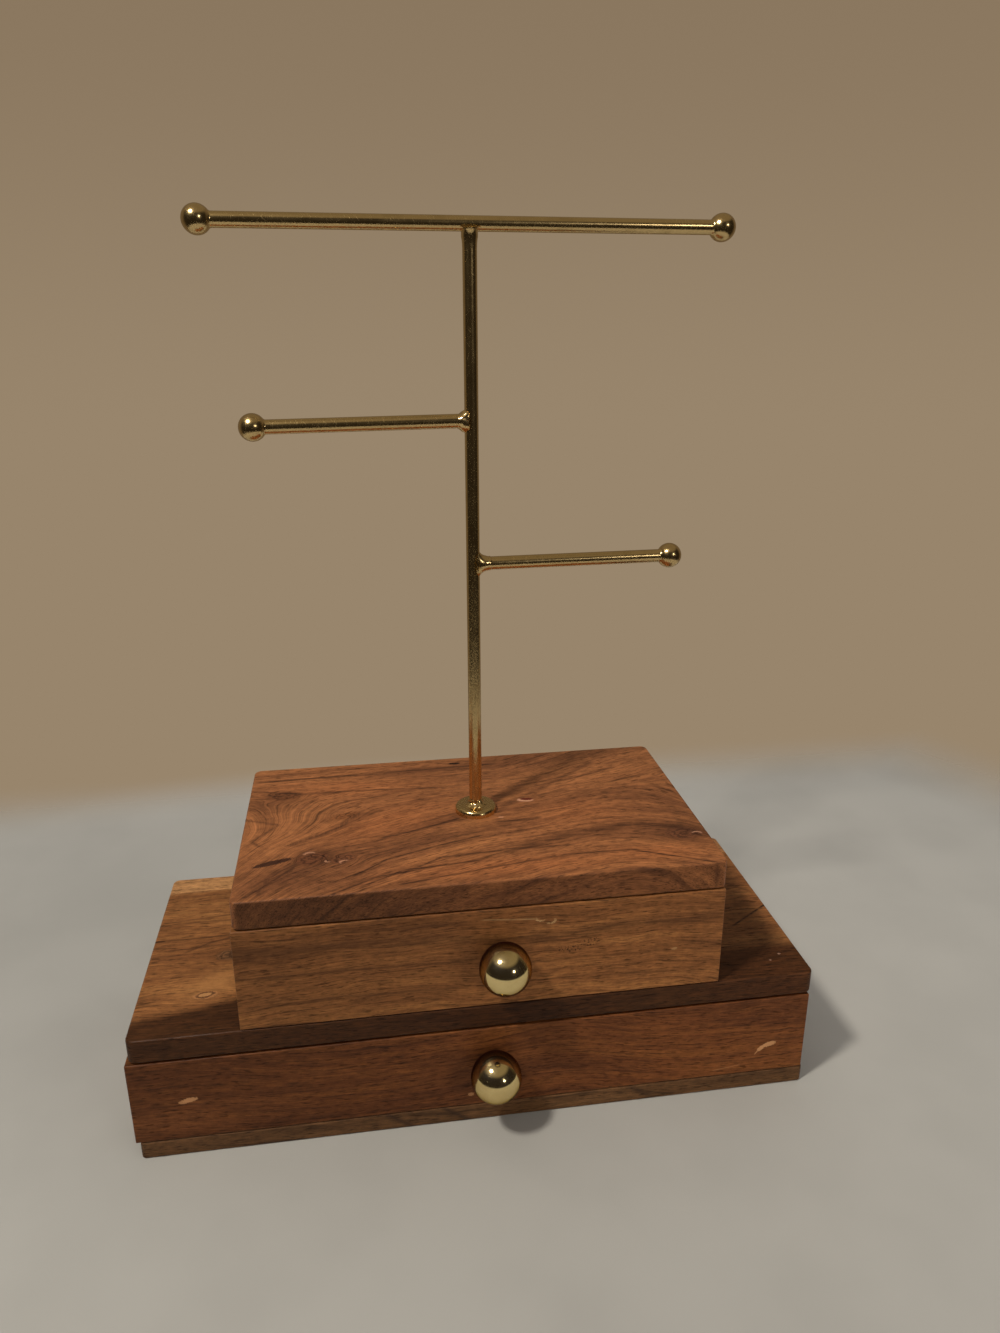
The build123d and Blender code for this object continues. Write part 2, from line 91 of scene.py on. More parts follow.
# %% Shader arithmetic
class Value:
    """One output socket. Sums with it add Math nodes to its tree."""

    def __init__(self, tree, socket):
        self.tree = tree
        self.socket = socket

    def math(self, operation, *others):
        sockets = dict(enumerate((self, *others)))
        return self.tree.add("ShaderNodeMath", {"operation": operation}, sockets)

    def after(self, first, operation):
        """The same for a plain number that stands before this value, as in 1 - mask."""
        return self.tree.add("ShaderNodeMath", {"operation": operation}, {0: first, 1: self})

    def __add__(self, other):
        return self.math("ADD", other)

    def __sub__(self, other):
        return self.math("SUBTRACT", other)

    def __mul__(self, other):
        return self.math("MULTIPLY", other)

    def __truediv__(self, other):
        return self.math("DIVIDE", other)

    def __rsub__(self, other):
        return self.after(other, "SUBTRACT")

    def __rtruediv__(self, other):
        return self.after(other, "DIVIDE")

    def __neg__(self):
        return self * -1

    __radd__ = __add__
    __rmul__ = __mul__

    def low(self, other):
        return self.math("MINIMUM", other)

    def high(self, other):
        return self.math("MAXIMUM", other)

    def size(self):
        return self.math("ABSOLUTE")

    def step(self, start, end):
        """0 up to start, 1 from end on, with a soft ramp between them."""
        settings = {"interpolation_type": "SMOOTHSTEP"}
        return self.tree.add("ShaderNodeMapRange", settings, {0: self, 1: start, 2: end})

    def hill(self, centre, width):
        """A soft hump of height 1 around centre."""
        away = (self - centre) / width
        return (-(away * away)).after(math.e, "POWER")


class Tree:
    """The nodes of one material or of the world."""

    def __init__(self, node_tree):
        self.tree = node_tree
        self.tree.nodes.clear()

    def node(self, kind, settings=None, sockets=None):
        """A new node: its settings first, then the numbers or links of its inputs."""
        made = self.tree.nodes.new(kind)
        for name, value in (settings or {}).items():
            if name == "stops":
                ramp = made.color_ramp.elements
                while len(ramp) < len(value):
                    ramp.new(0.5)
                for stop, (place, colour) in zip(ramp, value):
                    stop.position = place
                    stop.color = (*colour, 1)
            else:
                setattr(made, name, value)
        for name, value in (sockets or {}).items():
            socket = made.inputs[name]
            if isinstance(value, Value):
                self.tree.links.new(value.socket, socket)
            elif isinstance(value, tuple) and socket.type == "RGBA":
                socket.default_value = (*value[:3], 1)
            else:
                socket.default_value = value
        return made

    def add(self, kind, settings=None, sockets=None, output=0):
        made = self.node(kind, settings, sockets)
        return Value(self, made.outputs[output])

    def vector(self, x, y, z):
        return self.add("ShaderNodeCombineXYZ", None, {0: x, 1: y, 2: z})

    def parts(self, vector):
        split = self.node("ShaderNodeSeparateXYZ", None, {0: vector})
        return [Value(self, socket) for socket in split.outputs]

    def noise(self, vector, detail=2.0, rough=0.5, twist=0.0):
        """Soft random blobs about 1 unit of the vector across, mostly between 0.3 and 0.7."""
        sockets = {
            "Vector": vector, "Scale": 1.0, "Detail": detail, "Roughness": rough,
            "Distortion": twist,
        }
        return self.add("ShaderNodeTexNoise", None, sockets)

    def mix(self, first, second, share, blend="MIX"):
        settings = {"data_type": "RGBA", "blend_type": blend}
        return self.add("ShaderNodeMix", settings, {0: share, 6: first, 7: second}, output=2)

    def shade(self, colour, amount):
        """The colour made lighter or darker by a factor."""
        sockets = {0: colour, "Scale": amount}
        return self.add("ShaderNodeVectorMath", {"operation": "SCALE"}, sockets)


def linear(red, green, blue):
    """A colour picked on screen, 0 to 255, as the numbers that light is counted in."""
    curve = lambda c: c / 12.92 if c <= 0.04045 else ((c + 0.055) / 1.055) ** 2.4
    return tuple(curve(c / 255) for c in (red, green, blue))


def new_material(name):
    made = bpy.data.materials.new(name)
    made.use_nodes = True
    return made, Tree(made.node_tree)


def highest(values):
    """At each point, the highest of several values."""
    return reduce(Value.high, values)


def finish_material(tree, sockets, height, bump_strength, bump_depth):
    """Principled shader and output; height, from 0 to 1, goes through a Bump node."""
    bump = {"Strength": bump_strength, "Distance": bump_depth, "Height": height}
    sockets["Normal"] = tree.add("ShaderNodeBump", None, bump)
    shader = tree.add("ShaderNodeBsdfPrincipled", None, sockets)
    tree.node("ShaderNodeOutputMaterial", None, {"Surface": shader})


def piece_millimetres(tree):
    """Object coordinates in millimetres, as three values."""
    texture_place = tree.node("ShaderNodeTexCoord")
    place = Value(tree, texture_place.outputs["Object"])
    sockets = {0: place, "Scale": 1 / MM}
    return tree.parts(tree.add("ShaderNodeVectorMath", {"operation": "SCALE"}, sockets))


print("shader arithmetic ready")

# %% [markdown]
# ## Stage, room and lamps
# A round pale floor carries the object and fades out into the backdrop, so no edge shows. It is
# written a little lighter where the main lamp's light falls off, because the real table looks
# evenly pale. Polished brass is nothing but a mirror, so the room around it matters as much as
# its own colour: a wall behind, a bright ceiling, and the dark side of the room behind the
# camera, which draws the dark band across each knob. A small lamp up on the left throws the
# shadows and gives the knobs their main highlight. A small one far off at the right gives the
# second highlight. A wide one above and a wide one low at the right soften the shadows, and no
# metal mirrors those two.

# %% Floor
floor_tone = linear(174, 171, 164)
wall_tone = linear(152, 133, 108)
wall_high_tone = linear(138, 119, 95)
floor_edge = 560.0
under_main_lamp = (-300.0, -250.0)
lighter_away = 0.30

floor_mesh = bpy.data.meshes.new("floor")
disc = bmesh.new()
bmesh.ops.create_circle(disc, cap_ends=True, segments=96, radius=floor_edge * MM)
disc.to_mesh(floor_mesh)
disc.free()
floor = bpy.data.objects.new("floor", floor_mesh)
bpy.context.scene.collection.objects.link(floor)

floor_material, tree = new_material("floor")
x, y, z = piece_millimetres(tree)
distance = (x * x + y * y).math("SQRT")
mottle = tree.noise(tree.vector(x * 0.012, y * 0.012, 0.0), 3.0)
tone = tree.mix(floor_tone, tuple(c * 0.93 for c in floor_tone), mottle.step(0.35, 0.7))
aside = x - under_main_lamp[0]
before = y - under_main_lamp[1]
from_lamp = (aside * aside + before * before).math("SQRT")
tone = tree.shade(tone, 1.0 + from_lamp.step(300.0, 750.0) * lighter_away)
paper = tree.add("ShaderNodeBsdfDiffuse", None, {"Color": tone})
clear = tree.add("ShaderNodeBsdfTransparent")
far = distance.step(420.0, floor_edge).high(y.step(230.0, 330.0))
surface = tree.add("ShaderNodeMixShader", None, {0: far, 1: paper, 2: clear})
tree.node("ShaderNodeOutputMaterial", None, {"Surface": surface})
floor_mesh.materials.append(floor_material)
print("floor", 2 * floor_edge, "mm across")

# %% Room
room = bpy.data.worlds.new("room")
room.use_nodes = True
bpy.context.scene.world = room
tree = Tree(room.node_tree)
heading = tree.add("ShaderNodeTexCoord")
_, north, rise = tree.parts(heading)
ray = tree.node("ShaderNodeLightPath")
seen, glossy, through = [
    Value(tree, ray.outputs["Is " + kind + " Ray"]) for kind in ("Camera", "Glossy", "Transmission")
]
mirrored = glossy.high(through)

backdrop = tree.mix(wall_tone, wall_high_tone, rise.step(-0.1, 0.3))
backdrop = tree.mix(floor_tone, backdrop, rise.step(-0.47, -0.41))
dark_side = (0.019, 0.014, 0.009)
far_wall = (0.17, 0.13, 0.085)
ceiling = (0.22, 0.178, 0.118)
reflected = tree.mix(dark_side, far_wall, north.step(-0.15, 0.45))
reflected = tree.mix(reflected, ceiling, rise.step(0.55, 0.78))
ambient = tree.mix((0.17, 0.166, 0.16), (0.25, 0.245, 0.24), rise.step(-0.2, 0.9))
colour = tree.mix(ambient, reflected, mirrored)
colour = tree.mix(colour, backdrop, seen)
sky = tree.add("ShaderNodeBackground", None, {"Color": colour, "Strength": 1.0})
tree.node("ShaderNodeOutputWorld", None, {"Surface": sky})
print("room set")

# %% Lamps
def lamp(name, place, target, shape, across, power, colour, mirrored_too=True):
    """An area lamp of so many metres across and so many watts, turned to its target."""
    data = bpy.data.lights.new(name, "AREA")
    data.shape = shape
    data.size = across
    data.energy = power
    data.color = colour
    made = bpy.data.objects.new(name, data)
    place = Vector(place)
    aim = (Vector(target) - place).to_track_quat("-Z", "Y")
    made.matrix_world = Matrix.Translation(place) @ aim.to_matrix().to_4x4()
    made.visible_camera = False
    made.visible_glossy = mirrored_too
    bpy.context.scene.collection.objects.link(made)


middle = (0.0, 0.0, 0.1)
lamp("main_lamp", (-0.410, -0.346, 0.883), middle, "DISK", 0.11, 6.0, (1.0, 0.95, 0.87))
lamp("top_lamp", (0.1, 0.2, 1.5), middle, "SQUARE", 1.2, 2.4, (1.0, 0.97, 0.93), False)
lamp("right_lamp", (2.41, -4.12, 1.74), middle, "DISK", 0.50, 17.0, (1.0, 0.94, 0.86))
lamp("right_fill", (0.60, -0.70, 0.32), middle, "SQUARE", 0.45, 1.5, (1.0, 0.92, 0.82), False)
print("4 lamps")

# %% [markdown]
# ## Wood
# The box is a reddish-brown tropical hardwood with a satin finish. Each board is its own plank: a
# broad drift of colour, growth rings that show as long streaks, hair-fine fibres, and short dark
# pores. All of them follow one number, the ring coordinate, which says how far a point lies
# across the grain. Bending that one number around a knot bends streaks, fibres and pores
# together, as in a real plank, and because it is worked out in space, the pattern carries on over
# the edges.
#
# In these functions u runs along the grain, v across it on the main face and w into the board,
# all in millimetres. A number that multiplies them is a noise's blobs per millimetre, so a small
# one along u and a large one across draws long thin streaks.

# %% Knots
# push is how far a knot moves the rings, halo how dark the wood is around it
Knot = namedtuple("Knot", "u v length width lean tone push halo")


def knot_bend(u, v, knot):
    """How far a knot pushes the rings aside, as a stream parts around a stone."""
    du = (u - knot.u) * (knot.width / knot.length)
    dv = v - knot.v
    spread = du * du + dv * dv
    area = knot.width * knot.width
    return dv * area / (spread + 0.6 * area)


def knot_distance(tree, u, v, w, knot):
    """1 on the rim of a knot, 0 in its middle, with an uneven outline."""
    du = u - knot.u
    dv = v - knot.v - du * knot.lean
    flat = du * du / (knot.length * knot.length) + dv * dv / (knot.width * knot.width)
    ragged = tree.noise(tree.vector(u * 0.35, v * 0.6, w * 0.3), 2.0)
    return flat.math("SQRT") + (ragged - 0.5) * 0.7


print("a knot has", ", ".join(Knot._fields))

# %% Grain
def grain(tree, u, v, w, bend, knots, seed, spacing):
    """The ring coordinate and the masks that follow it; spacing is between the ring lines."""
    wander = tree.noise(tree.vector(u * 0.010 + seed, v * 0.020, w * 0.02), 3.0)
    across = bend(u, v, w) + (wander - 0.5) * 13.0
    for knot in knots:
        across = across - knot_bend(u, v, knot) * knot.push
    broad = tree.noise(tree.vector(u * 0.009 + seed, across * 0.05, w * 0.02 + seed), 2.0)
    streak = tree.noise(tree.vector(u * 0.014 - seed, across * 0.30, w * 0.06 + seed), 6.0, 0.70)
    ring = (across / spacing + broad * 2.2).math("FRACT")
    patchy = tree.noise(tree.vector(u * 0.03 + seed, across * 0.16, seed), 3.0).step(0.44, 0.60)
    line = ring.step(0.72, 0.94) * (1.0 - ring.step(0.94, 1.0)) * patchy
    fibre = tree.noise(tree.vector(u * 0.06, across * 0.9, w * 0.9 + seed), 6.0, 0.80)
    cloth = tree.noise(tree.vector(u * 0.25, v * 0.42, w * 0.42 + seed), 4.0, 0.70)
    pore = tree.noise(tree.vector(u * 0.17, across * 1.25 + seed, w * 1.25), 2.0, 0.6)
    thread = tree.noise(tree.vector(u * 0.09 + seed, across * 2.4, w * 2.4), 2.0, 0.6)
    return {
        "across": across,
        "broad": broad.step(0.30, 0.70),
        "streak": streak.step(0.28, 0.72),
        "line": line,
        "fibre": fibre.step(0.22, 0.78),
        "cloth": cloth.step(0.25, 0.75),
        "pore": pore.step(0.55, 0.67),
        "thread": thread.step(0.34, 0.66),
    }


def edge_nearness(tree, x, y, z, node):
    """1 on the corners between two faces of a board, falling to 0 within 1.5 millimetres."""
    low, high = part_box(node)
    gaps = []
    for value, a, b in zip((x, y, z), low, high):
        centre = (a + b) / 2 / MM
        half = (b - a) / 2 / MM
        gaps.append(half - (value - centre).size())
    a, b, c = gaps
    second = a.low(b).high(a.high(b).low(c))
    rough = tree.noise(tree.vector(x * 0.15, y * 0.15, z * 0.15), 3.0, 0.7)
    return 1.0 - (second + (rough - 0.5) * 2.4).step(0.2, 1.5)


satin = 0.18
plank_bump = (0.55, 0.00012)


def plank(
    name, tones, bend, turned="x", seed=0.0, knots=(), spacing=9.0, lines=0.55, node=None,
    paint=None, drift=None,
):
    """A finished plank. tones are its light, middle and dark colours and that of its ring lines.
    turned is the axis that the grain runs along; bend gives the ring coordinate before knots."""
    material, tree = new_material(name)
    x, y, z = piece_millimetres(tree)
    u, v, w = {"x": (x, y, z), "xz": (x, z, y), "y": (y, z, x)}[turned]
    marks = grain(tree, u, v, w, bend, knots, seed, spacing)
    light, middle, dark, line_tone = tones
    depth = marks["streak"] * 0.38 + marks["broad"] * 0.27 + marks["fibre"] * 0.35
    stops = [(0.12, light), (0.5, middle), (0.88, dark)]
    colour = tree.add("ShaderNodeValToRGB", {"stops": stops}, {0: depth})
    colour = tree.mix(colour, line_tone, marks["line"] * lines)
    if drift:
        colour = drift(tree, colour, u, v, w, marks)
    fine = marks["fibre"] * 0.62 + marks["cloth"] * 0.46 + marks["thread"] * 0.48
    colour = tree.shade(colour, 0.24 + fine)
    for knot in knots:
        reach = knot_distance(tree, u, v, w, knot)
        inside = (1.0 - reach.step(0.80, 1.30)) * 0.8
        halo = (1.0 - reach.step(0.9, 2.4)) * 0.4
        rings = (reach * 13.0 + marks["cloth"] * 5.0).math("SINE") * 0.45 + 0.85
        colour = tree.mix(colour, line_tone, halo * knot.halo)
        colour = tree.mix(colour, tree.shade(knot.tone, rings), inside)
    colour = tree.shade(colour, 1.0 - marks["pore"] * 0.52)
    height = 0.6 - marks["pore"] * 0.6 - marks["line"] * 0.08 + marks["fibre"] * 0.14
    rough = 0.46 + marks["fibre"] * 0.14 + marks["pore"] * 0.2
    if node:
        # corners between faces are lighter: partly wear, partly a painted highlight where the
        # rounded edge catches light
        wear_and_highlight = edge_nearness(tree, x, y, z, node)
        colour = tree.mix(colour, tree.shade(colour, 1.2), wear_and_highlight * 0.3)
        rough = rough - wear_and_highlight * 0.06
    if paint:
        colour, height, rough = paint(tree, colour, height, rough, x, y, z, marks)
    sockets = {"Base Color": colour, "Roughness": rough, "Specular IOR Level": satin}
    finish_material(tree, sockets, height, *plank_bump)
    print("plank", name, len(tree.tree.nodes), "nodes")
    return material


def wear(material, *names):
    """Give nodes of the frame their finished material."""
    for name in names:
        slots = nodes[name].data.materials
        slots.clear()
        slots.append(material)
        bare.discard(name)


bare = set(nodes)
print(len(bare), "nodes to finish")

# %% [markdown]
# ## The upper top board
# This board shows most. It was sawn close to a branch: two knots lie at its front left and one at
# its right end, and the rings sweep up from them towards the back, run level, and drop again at
# the right. Its rings are a slope that is steep at the left and falls off at the right, with the
# knots' bends added. The darkest streaks, the thin lines and the pale arcs at the knots are laid
# over that by place, because noise can't put them where they belong; one dark streak runs from the
# flange to the back right, where the post's shadow falls, and is partly grain, partly painted
# shadow. Two chips beside the flange, the larger one with a dark red hole, and a small pit at the
# back are marks of use.

# %% Marks
def blot(tree, x, y, place, length, width, lean=0.0):
    """1 inside a small ragged oval on a face, with a short soft rim."""
    dx = x - place[0]
    dy = y - place[1] - dx * lean
    flat = (dx * dx / (length * length) + dy * dy / (width * width)).math("SQRT")
    ragged = tree.noise(tree.vector(x * 1.3, y * 1.9, 0.0), 3.0, 0.7)
    return 1.0 - (flat + (ragged - 0.5) * 1.3).step(0.80, 1.1)


def crescent(tree, x, y, place, size, shift):
    """A thin arc, where one oval shows past another that lies a little beside it."""
    whole = blot(tree, x, y, place, size, size * 0.7)
    cover = blot(tree, x, y, (place[0] + shift[0], place[1] + shift[1]), size, size * 0.7)
    return (whole - cover).high(0.0)


def pool(x, y, place, length, width, lean=0.0):
    """A wide soft patch, 1 in its middle."""
    dx = (x - place[0]) / length
    dy = (y - place[1] - (x - place[0]) * lean) / width
    return (dx * dx + dy * dy).math("SQRT").hill(0.0, 1.0)


def pools(x, y, rows):
    """Several patches; a row holds place, length, width, lean and strength."""
    return highest(pool(x, y, *row[:4]) * row[4] for row in rows)


def streak_along(tree, x, y, path, width, strength):
    """A soft dark band that follows a few points, highest where it passes them."""
    stretches = []
    for (x0, y0), (x1, y1) in zip(path, path[1:]):
        along = (x - x0) / (x1 - x0)
        centre = y0 + along * (y1 - y0)
        inside = along.step(-0.12, 0.06) * (1.0 - along.step(0.94, 1.12))
        stretches.append((y - centre).hill(0.0, width) * inside)
    ragged = tree.noise(tree.vector(x * 0.05, y * 0.9, 0.0), 4.0, 0.65)
    return highest(stretches) * ragged.step(0.25, 0.62) * strength


def bands(tree, x, y, rows):
    """Several bands; a row holds width, strength and the points of the path."""
    return highest(streak_along(tree, x, y, path, wide, strong) for wide, strong, path in rows)


print("marks ready")

# %% Upper top board
def upper_top_bend(u, v, w):
    """Rings of the upper top board; v is the depth, positive to the back."""
    front = 1.0 - v.step(-15.0, 38.0)
    sweep = (1.0 - (u + 102.0) / 30.0).math("EXPONENT") * -15.0
    fall = (u - 45.0).high(0.0)
    near = sweep + u * 0.22 - fall * fall * 0.0075
    far = u * 0.05 + (u - 20.0).high(0.0) * 0.28
    return v - (near * front + far * (1.0 - front)) + w * 0.7


orange_fields = [
    ((-35.0, -4.0), 26.0, 13.0, 0.35, 1.0),
    ((15.0, -52.0), 48.0, 7.0, 0.0, 1.0),
    ((78.0, -50.0), 24.0, 7.0, 0.0, 1.0),
    ((-60.0, 33.0), 40.0, 9.0, 0.0, 0.7),
    ((50.0, -8.0), 24.0, 12.0, 0.0, 0.7),
]
brown_fields = [
    ((-66.0, -33.0), 14.0, 7.0, -0.1, 0.6),
    ((-92.0, 22.0), 16.0, 12.0, 0.0, 0.7),
    ((-30.0, -26.0), 30.0, 7.0, 0.3, 0.5),
    ((-80.0, -48.0), 28.0, 13.0, 0.0, 0.9),
    ((88.0, -33.0), 22.0, 7.0, 0.0, 0.6),
    ((60.0, 52.0), 40.0, 12.0, 0.0, 0.5),
]


def upper_top_drift(tree, colour, u, v, w, marks):
    """Orange and brown fields of the face, and the front edge darkened most at its left: partly the
    edge's own dark wood, partly painted shade.
    """
    orange = tree.shade(linear(182, 108, 60), 0.75 + marks["fibre"] * 0.4)
    brown = tree.shade(linear(76, 44, 27), 0.7 + marks["cloth"] * 0.6)
    colour = tree.mix(colour, orange, pools(u, v, orange_fields) * 0.36)
    colour = tree.mix(colour, brown, pools(u, v, brown_fields) * 0.72)
    # the front face is darker, most at the left: partly dark wood, partly painted shade for light
    # that falls on the front faces from the right
    front = 1.0 - v.step(-62.9, -61.6)
    shade = 0.18 + u.step(-75.0, 5.0) * 0.28 + u.step(20.0, 90.0) * 0.22
    return tree.mix(colour, tree.shade(colour, shade), front)


soft_streaks_and_shadow = [
    (2.8, 0.8, [(12, -38), (30, -33.5), (52, -27), (73, -24), (91, -29), (101, -37)]),
    # this band follows the post's shadow: partly a dark grain streak, partly painted shadow of the
    # post
    (2.2, 0.6, [(17, 2), (42, 21), (70, 44)]),
]
soft_to_back = [
    (2.4, 0.7, [(-20, -82), (-8, -61), (6, -50)]),
    (1.6, 0.6, [(-58, -92), (-46, -88)]),
]
thin_lines = [
    (0.9, 0.9, [(-40, -19), (-23, -14), (-5, -6.5)]),
    (0.7, 0.8, [(-53, -49), (-39, -38), (-17, -30), (3, -24)]),
    (0.7, 0.8, [(-50, -58), (-33, -48), (0, -45)]),
    (0.7, 0.8, [(-34, -51), (-16, -40), (12, -38), (40, -38)]),
    (0.7, 0.8, [(-35, -59), (1, -52), (38, -46), (66, -46), (99, -62)]),
    (1.2, 0.8, [(12, -13), (32, -11.5)]),
    (1.1, 0.7, [(-98, -60), (-88, -50), (-78, -38)]),
    (0.8, 0.8, [(-62, -62), (-45, -52), (-20, -47)]),
    (0.8, 0.7, [(-102, 36), (-77, 30), (-44, 29), (-12, 27)]),
    (1.0, 0.7, [(-100, 46), (-48, 48), (20, 50)]),
    (0.8, 0.6, [(36, 21), (57, 27), (79, 36)]),
    (1.0, 0.5, [(-103, 7), (-87, 0)]),
]
thin_to_back = [(1.2, 0.5, [(-19, -94), (-14, -98), (0, -87)])]
knot_rims = [
    ((-72.3, -28.4), 2.6, (0.5, -1.1)),
    ((-64.1, -35.6), 1.7, (0.7, 0.5)),
    ((-57.4, -37.3), 2.4, (0.9, -0.7)),
    ((99.5, -36.5), 2.4, (-0.4, -0.9)),
]


def upper_top_paint(tree, colour, height, rough, x, y, z, marks):
    """Marks laid on by place. Those to the back are counted along y, so x and y change places."""
    soft = bands(tree, x, y, soft_streaks_and_shadow).high(bands(tree, y, x, soft_to_back))
    thin = bands(tree, x, y, thin_lines).high(bands(tree, y, x, thin_to_back))
    dark = (soft * 0.9).high(thin * 1.25).low(1.0)
    almond = blot(tree, x, y, (-87.4, -33.6), 8.5, 2.0, 0.30)
    pit = blot(tree, x, y, (-0.5, 53.5), 3.2, 1.1)
    rims = highest(crescent(tree, x, y, *row) for row in knot_rims)
    chip = blot(tree, x, y, (28.9, 7.2), 3.9, 1.8, -0.10)
    hole = blot(tree, x, y, (29.5, 8.0), 3.2, 1.3, -0.10)
    small_chip = blot(tree, x, y, (14.7, -8.3), 1.4, 0.9)
    pale = chip.high(small_chip * 0.5).high(rims * 0.6)
    colour = tree.mix(colour, linear(52, 29, 18), dark)
    colour = tree.mix(colour, linear(46, 24, 17), almond * 0.9)
    colour = tree.mix(colour, linear(30, 17, 12), pit)
    colour = tree.mix(colour, linear(206, 150, 116), pale * 0.9)
    colour = tree.mix(colour, linear(96, 38, 24), hole)
    height = height - (pit + hole) * 0.5
    return colour, height, rough + (chip + pit) * 0.2


upper_top_tones = (
    linear(170, 109, 64),
    linear(139, 87, 51),
    linear(93, 56, 34),
    linear(48, 27, 16),
)
upper_top_knots = [
    Knot(-71.0, -32.5, 6.5, 4.6, 0.2, linear(96, 56, 34), 1.6, 0.6),
    Knot(-57.5, -34.5, 5.0, 3.6, 0.2, linear(104, 62, 38), 1.4, 0.5),
    Knot(-85.9, 29.2, 8.0, 4.0, 0.0, linear(96, 57, 33), 1.3, 0.5),
    Knot(94.0, -35.5, 7.4, 5.4, 0.0, linear(100, 60, 38), 1.5, 0.5),
    Knot(-57.5, 4.1, 6.0, 2.6, 0.3, linear(124, 74, 40), 0.8, 0.2),
]
upper_top = plank(
    "upper_top_wood", upper_top_tones, upper_top_bend, knots=upper_top_knots, seed=3.1,
    spacing=7.5, node="upper_top_board", paint=upper_top_paint, drift=upper_top_drift,
)
wear(upper_top, "upper_top_board")

# %% [markdown]
# ## The lower top board
# The same wood, cut where the pale sapwood meets the dark heart: a tan strip runs along the back
# edge, and near the front the board turns purple-brown. Two small knots show at the left of the
# upper tier, and a thin crack runs in from the right end.

# %% Lower top board
def lower_top_bend(u, v, w):
    return v + (u + 130.0).hill(0.0, 60.0) * -6.0 + u * 0.03 + w * 0.4


def lower_top_drift(tree, colour, u, v, w, marks):
    edge = v + (marks["across"] - v) * 0.25 + (marks["fibre"] - 0.5) * 2.0
    sap = edge.step(50.5, 53.5)
    start = -47.5 + (u + 150.0).high(0.0).low(60.0) * 0.21
    heart = 1.0 - (edge - start).step(-2.0, 6.0)
    # right is the front of the board's right part, where the upper tier's shadow falls; its
    # darkening is partly dark heartwood, partly painted shade
    right = u.step(96.0, 104.0) * (1.0 - edge.step(4.0, 30.0)) * (1.0 - u.step(136.0, 148.0))
    tan = tree.shade(linear(172, 124, 78), 0.85 + marks["streak"] * 0.3)
    dark = tree.shade(linear(53, 28, 11), 0.66 + marks["fibre"] * 0.6)
    # rim is a strip along the right end painted lighter: painted light where the lamp reaches past
    # the upper tier's shadow
    rim = u.step(140.0, 149.0) * edge.step(-30.0, -10.0)
    colour = tree.mix(colour, tan, sap)
    colour = tree.mix(colour, dark, right * 0.45)
    # painted light: the dark heart is lighter towards the right end, on the front edge as on the
    # drawer fronts
    dark = tree.shade(dark, 1.0 + u.step(60.0, 145.0) * 0.7)
    colour = tree.mix(colour, linear(140, 88, 50), rim * 0.5)
    return tree.mix(colour, dark, heart * 0.93)


lower_top_lines = [
    (0.7, 0.8, [(-147, 22), (-118, 25), (-104, 27)]),
    (0.8, 0.8, [(-149, -6), (-136, -5), (-125, 2), (-104, 9)]),
    (1.2, 0.7, [(108, 30), (128, 24), (147, 6)]),
]


def lower_top_paint(tree, colour, height, rough, x, y, z, marks):
    glow = pool(x, y, (-115.0, -27.0), 15.0, 8.0, 0.35)
    colour = tree.mix(colour, linear(176, 122, 70), glow * (0.45 + marks["cloth"] * 0.4))
    eye = blot(tree, x, y, (-121.1, -36.2), 2.9, 1.2, 0.15)
    socket = blot(tree, x, y, (-121.1, -36.2), 4.1, 2.1, 0.15) - eye
    colour = tree.mix(colour, linear(84, 50, 27), socket.high(0.0) * 0.85)
    colour = tree.mix(colour, linear(190, 140, 88), eye * 0.6)
    swirl = blot(tree, x, y, (-111.6, -8.5), 3.0, 3.0)
    swirl = swirl - blot(tree, x, y, (-111.0, -8.3), 1.9, 1.9)
    sliver = blot(tree, x, y, (-110.4, -8.5), 1.3, 2.3)
    colour = tree.mix(colour, linear(62, 39, 22), swirl.high(0.0) * 0.8)
    colour = tree.mix(colour, linear(178, 134, 90), sliver * 0.7)
    thin = bands(tree, x, y, lower_top_lines)
    colour = tree.mix(colour, linear(72, 43, 24), thin)
    crack = streak_along(tree, x, y, [(128, -22), (150, -7.5)], 0.7, 1.2).low(1.0)
    colour = tree.mix(colour, linear(40, 22, 14), crack)
    specks = blot(tree, x, y, (140.0, -47.0), 0.8, 0.6)
    specks = specks.high(blot(tree, x, y, (134.0, -51.0), 0.6, 0.5))
    colour = tree.mix(colour, linear(180, 140, 118), specks * 0.5)
    return colour, height - crack * 0.3, rough


lower_top_tones = (
    linear(160, 110, 62),
    linear(133, 86, 47),
    linear(96, 58, 32),
    linear(58, 35, 19),
)
lower_top_knots = [
    Knot(-114.4, -8.5, 4.6, 3.6, 0.0, linear(104, 72, 46), 1.6, 0.6),
    Knot(-121.1, -36.4, 5.0, 2.6, 0.1, linear(160, 110, 70), 1.5, 0.3),
    Knot(128.0, 18.0, 7.0, 4.0, 0.0, linear(84, 52, 36), 1.6, 0.5),
]
lower_top = plank(
    "lower_top_wood", lower_top_tones, lower_top_bend, knots=lower_top_knots, seed=11.7,
    spacing=6.0, node="lower_top_board", paint=lower_top_paint, drift=lower_top_drift,
)
wear(lower_top, "lower_top_board")

# %% [markdown]
# ## The drawer fronts
# The upper front is straight-grained and tan, with one long dark streak and a fine scratch that
# ends in a squiggle. The lower front is darker and redder, its grain fans out over the knob, and
# its maker filled a few flaws with a pale paste that never took the finish. Both are painted a
# little lighter towards the right, a slow drift of painted light for the light that falls on the
# front faces from the right.

# %% Upper drawer front
def upper_front_bend(u, v, w):
    return v + (u - 75.0).high(0.0) * 0.12 + w * 0.5


def upper_front_drift(tree, colour, u, v, w, marks):
    # painted light: lighter towards the right, where more light falls on the front
    return tree.shade(colour, 0.85 + u.step(-95.0, 100.0) * 0.42)


upper_front_bands = [
    (2.4, 0.8, [(-104, 99), (-52, 98), (-3, 95.5), (31, 93), (57, 96), (104, 96)]),
    (0.7, 0.8, [(-104, 86.5), (-46, 86), (-10, 85)]),
    (1.0, 0.7, [(-100, 72), (-60, 73), (-14, 72)]),
    (0.8, 0.5, [(-72, 104.5), (-17, 104)]),
    (0.7, 0.6, [(60, 71), (95, 69)]),
]


